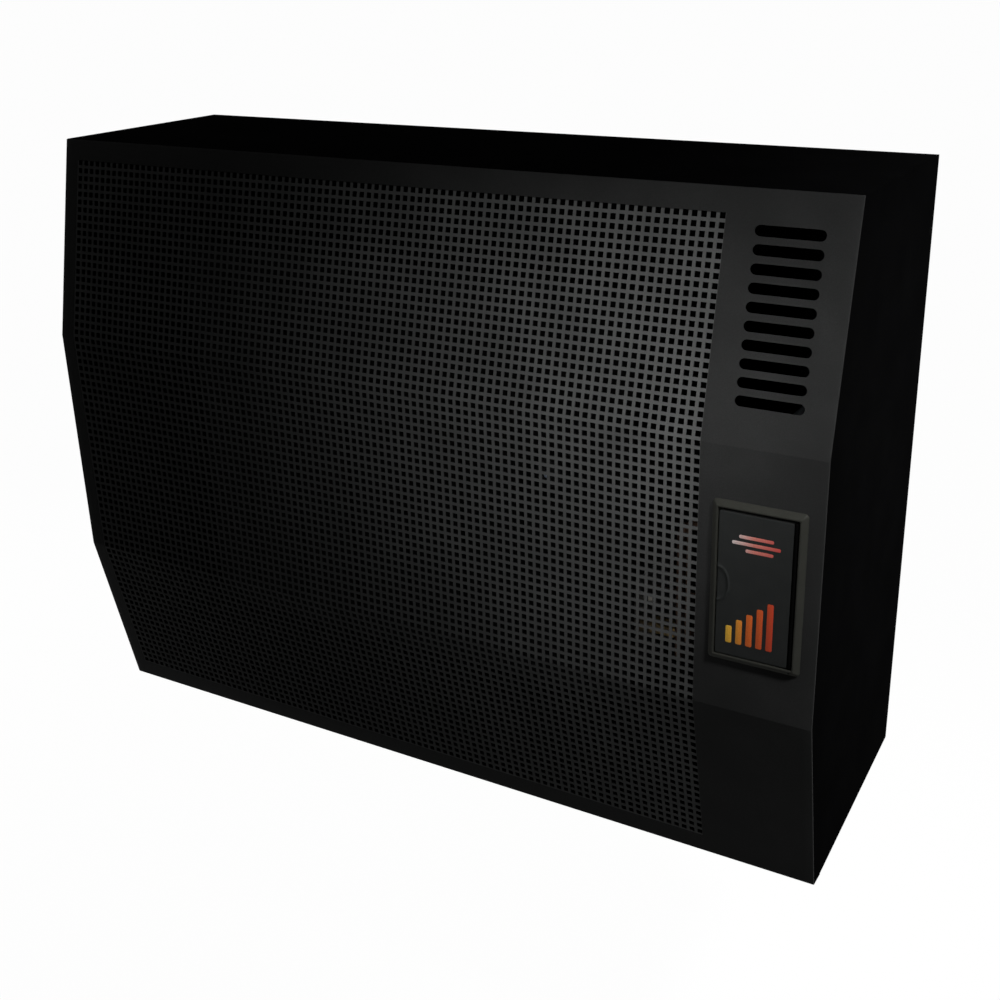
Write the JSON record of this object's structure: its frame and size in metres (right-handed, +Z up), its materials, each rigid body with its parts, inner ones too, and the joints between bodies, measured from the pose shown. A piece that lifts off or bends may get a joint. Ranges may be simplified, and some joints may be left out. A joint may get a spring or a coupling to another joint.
{
  "type": "wall mounted gas heater",
  "caption": "Room sealed wall gas heater with a bent, perforated charcoal front, vent slots, a framed control door, and its chamber, burner, valve and flue sockets inside.",
  "frame": {"origin": "centre of the back plate's wall face, midway between the sides and between the top and the front's lower edge", "axes": "+X to the right as seen from the front, +Y into the wall, +Z up"},
  "size_m": [0.845, 0.275, 0.632],
  "materials": {
    "black_casing": "fine matt powder coat",
    "plated_steel": "zinc plated sheet",
    "chamber_enamel": "matt heat resisting enamel",
    "fibre_seal": "pressed mineral fibre",
    "sight_glass": "clear",
    "brass": "machined",
    "copper": "drawn copper tube",
    "valve_casting": "die cast",
    "spring_steel": "bright wire",
    "ceramic": "glazed",
    "lead_sleeve": "silicone sleeve",
    "door_plastic": "fine textured moulding",
    "knob_plastic": "satin moulding",
    "button_plastic": "satin moulding",
    "nut_steel": "zinc plated",
    "magnet": "ferrite"
  },
  "bodies": {
    "heater": {"front_panel": "black_casing", "top_panel": "black_casing", "bottom_panel": "black_casing", "side_panel_left": "black_casing", "side_panel_right": "black_casing", "casing_screws": "black_casing", "back_plate": "plated_steel", "chassis_screws": "plated_steel", "air_deflector": "plated_steel", "heat_shield": "plated_steel", "chamber_brackets": "plated_steel", "combustion_chamber": "chamber_enamel", "cover_gasket": "fibre_seal", "chamber_cover": "chamber_enamel", "cover_bolts": "plated_steel", "sight_glass": "sight_glass", "sight_frame": "plated_steel", "flue_baffle": "chamber_enamel", "exhaust_spigot": "plated_steel", "air_collar": "plated_steel", "air_duct": "plated_steel", "duct_plate": "plated_steel", "duct_gasket": "fibre_seal", "burner_tube": "plated_steel", "burner_saddles": "plated_steel", "injector_flange": "plated_steel", "main_injector": "brass", "pilot_bracket": "plated_steel", "pilot_burner": "brass", "thermocouple": "copper", "electrode_insulator": "ceramic", "ignition_electrode": "plated_steel", "ignition_lead": "lead_sleeve", "pilot_tube": "copper", "supply_pipe": "copper", "supply_nuts": "brass", "inlet_pipe": "copper", "inlet_fitting": "brass", "pipe_clamp": "plated_steel", "control_bracket": "plated_steel", "control_plate": "black_casing", "control_screws": "plated_steel", "gas_valve": "valve_casting", "magnet_unit": "brass", "thermostat_bulb": "copper", "thermostat_capillary": "copper", "bulb_clips": "plated_steel", "knob_spring": "spring_steel", "piezo_body": "knob_plastic", "piezo_nut": "nut_steel", "igniter_spring": "spring_steel", "door_frame": "door_plastic", "hinge_pins": "plated_steel", "door_magnet": "magnet"},
    "control_door": {"control_door": "door_plastic", "door_striker": "plated_steel"},
    "push_collar": {"spindle_collar": "brass"},
    "gas_knob": {"gas_knob": "knob_plastic", "valve_spindle": "plated_steel"},
    "igniter_button": {"igniter_button": "button_plastic"}
  },
  "joints": [
    {"name": "door_hinge", "type": "hinge", "parent": "heater", "child": "control_door", "pos_m": [0.4002, -0.2724, -0.006], "axis": [0, 0, 1], "range_deg": [0, 100]},
    {"name": "knob_push", "type": "slide", "parent": "heater", "child": "push_collar", "axis": [0, 1, 0], "range_m": [0, 0.004], "stiffness_N_per_m": 1500, "springref_m": -0.003, "deforming": ["knob_spring"]},
    {"name": "knob_turn", "type": "hinge", "parent": "push_collar", "child": "gas_knob", "pos_m": [0.368, -0.256, 0.018], "axis": [0, -1, 0], "range_deg": [0, 270]},
    {"name": "igniter_push", "type": "slide", "parent": "heater", "child": "igniter_button", "axis": [0, 1, 0], "range_m": [0, 0.007], "stiffness_N_per_m": 800, "springref_m": -0.003, "deforming": ["igniter_spring"]}
  ]
}
